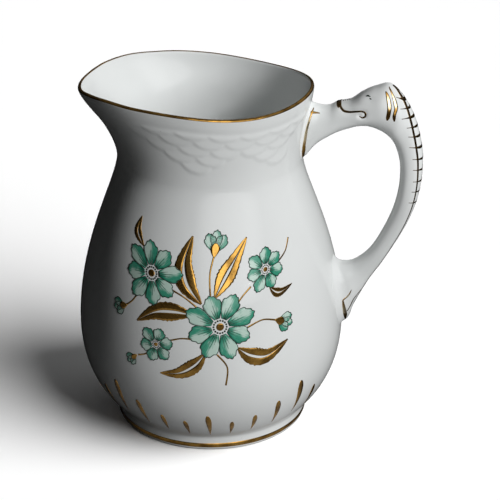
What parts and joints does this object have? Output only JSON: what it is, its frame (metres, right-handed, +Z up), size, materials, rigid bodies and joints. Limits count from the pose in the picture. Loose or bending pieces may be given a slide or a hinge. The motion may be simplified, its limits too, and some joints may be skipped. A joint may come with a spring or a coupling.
{
  "type": "milk jug",
  "caption": "Round-bellied porcelain milk jug with an oval pouring lip, a foot ring, gilt lines on lip and foot, and a cast loop handle shaped like a sea horse.",
  "frame": {"origin": "on the table under the middle of the jug's overall box; the turned body's own axis stands 13.6 mm towards the spout from it", "axes": "+Z up along the body's axis, +X towards the handle, so that the spout points to -X, and +Y across the jug"},
  "size_m": [0.1214, 0.0942, 0.1293],
  "materials": {
    "porcelain": "gloss",
    "slip": "satin",
    "gilding": "gloss",
    "enamel": "gloss"
  },
  "bodies": {
    "root": {"jug_body": "porcelain", "handle": "porcelain", "upper_slip_joint": "slip", "lower_slip_joint": "slip", "rim_gilding": "gilding", "foot_gilding": "gilding"}
  },
  "joints": []
}
